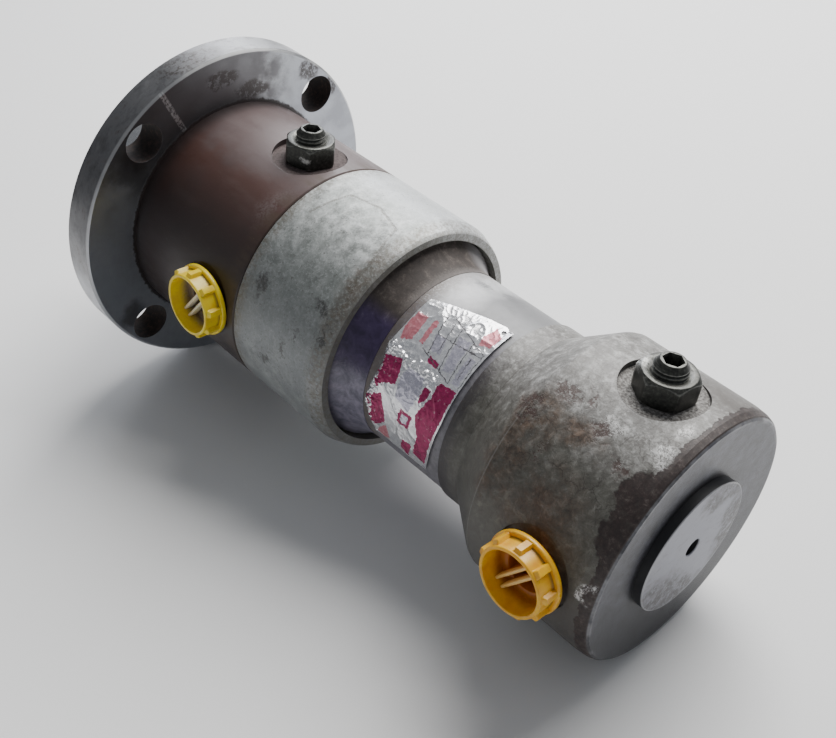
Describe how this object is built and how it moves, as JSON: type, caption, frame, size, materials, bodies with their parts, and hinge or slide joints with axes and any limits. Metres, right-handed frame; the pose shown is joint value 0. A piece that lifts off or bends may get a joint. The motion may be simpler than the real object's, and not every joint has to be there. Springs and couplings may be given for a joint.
{
  "type": "hydraulic motor",
  "caption": "Flanged semi-rotary hydraulic motor: round steel body, helical-spline piston drive, keyed shaft, two capped ports and two adjusting screws.",
  "frame": {"origin": "centre of the flange's mounting face, on the body's axis", "axes": "+X along the body towards the rear head, +Z the side of the adjusting screws, the ports face -Y, the output shaft points to -X"},
  "size_m": [0.326, 0.146, 0.146],
  "materials": {
    "primer_red": "dark red-brown primer, satin, worn",
    "zinc_grey": "pale grey-green galvanised steel, mottled",
    "barrel_steel": "grey paint with brown rust",
    "rear_paint": "grey-beige paint with rust stains and flaking",
    "plug_steel": "machined steel, light stain",
    "black_oxide": "black oxide, bright worn edges",
    "foil": "crumpled printed foil",
    "cap_lemon": "yellow polyethylene",
    "cap_amber": "amber polyethylene",
    "rubber_black": "nitrile rubber",
    "bronze": "bearing bronze",
    "ground_steel": "ground steel",
    "spline_steel": "hardened steel",
    "ptfe": "bronze-filled PTFE"
  },
  "bodies": {
    "housing": {"front_head": "primer_red", "collar": "zinc_grey", "collar_lock_screw": "black_oxide", "barrel": "barrel_steel", "barrel_o_ring": "rubber_black", "rear_head": "rear_paint", "end_plug": "plug_steel", "end_plug_o_ring": "rubber_black", "nameplate": "foil", "front_screw_seal": "rubber_black", "rear_screw_seal": "rubber_black", "front_bushing": "bronze", "front_thrust_washer": "bronze", "rear_thrust_washer": "bronze", "bearing_nut": "spline_steel", "shaft_seal": "rubber_black", "shaft_wiper": "rubber_black", "spline_ring": "spline_steel", "spline_ring_pins": "ground_steel"},
    "shaft": {"output_shaft": "ground_steel"},
    "piston": {"piston": "ground_steel", "piston_guide_bands": "ptfe", "piston_seal": "rubber_black", "cushion_plunger": "spline_steel"},
    "front_screw": {"front_adjusting_screw": "black_oxide"},
    "rear_screw": {"rear_adjusting_screw": "black_oxide"},
    "front_nut": {"front_lock_nut": "black_oxide"},
    "rear_nut": {"rear_lock_nut": "black_oxide"},
    "front_cap": {"front_port_cap": "cap_lemon"},
    "rear_cap": {"rear_port_cap": "cap_amber"}
  },
  "joints": [
    {"name": "shaft_turn", "type": "hinge", "parent": "housing", "child": "shaft", "pos_m": [0, 0, 0], "axis": [1, 0, 0], "range_deg": [-90, 90]},
    {"name": "piston_slide", "type": "slide", "parent": "housing", "child": "piston", "axis": [1, 0, 0], "range_m": [-0.02251, 0.02251]},
    {"name": "front_screw_turn", "type": "hinge", "parent": "housing", "child": "front_screw", "pos_m": [0.0646, 0, 0.055], "axis": [0, 0, 1], "range_deg": [-180, 180]},
    {"name": "rear_screw_turn", "type": "hinge", "parent": "housing", "child": "rear_screw", "pos_m": [0.2409, 0, 0.055], "axis": [0, 0, 1], "range_deg": [-180, 180]},
    {"name": "front_nut_turn", "type": "hinge", "parent": "housing", "child": "front_nut", "pos_m": [0.0646, 0, 0.052], "axis": [0, 0, 1], "range_deg": [-30, 180]},
    {"name": "rear_nut_turn", "type": "hinge", "parent": "housing", "child": "rear_nut", "pos_m": [0.2409, 0, 0.052], "axis": [0, 0, 1], "range_deg": [-30, 180]},
    {"name": "front_cap_pull", "type": "slide", "parent": "housing", "child": "front_cap", "axis": [0, -1, 0], "range_m": [0, 0.03]},
    {"name": "rear_cap_pull", "type": "slide", "parent": "housing", "child": "rear_cap", "axis": [0, -1, 0], "range_m": [0, 0.03]}
  ],
  "couplings": [
    {"joint": "piston_slide", "follows": "shaft_turn", "m_per_rad": -0.014324}
  ]
}
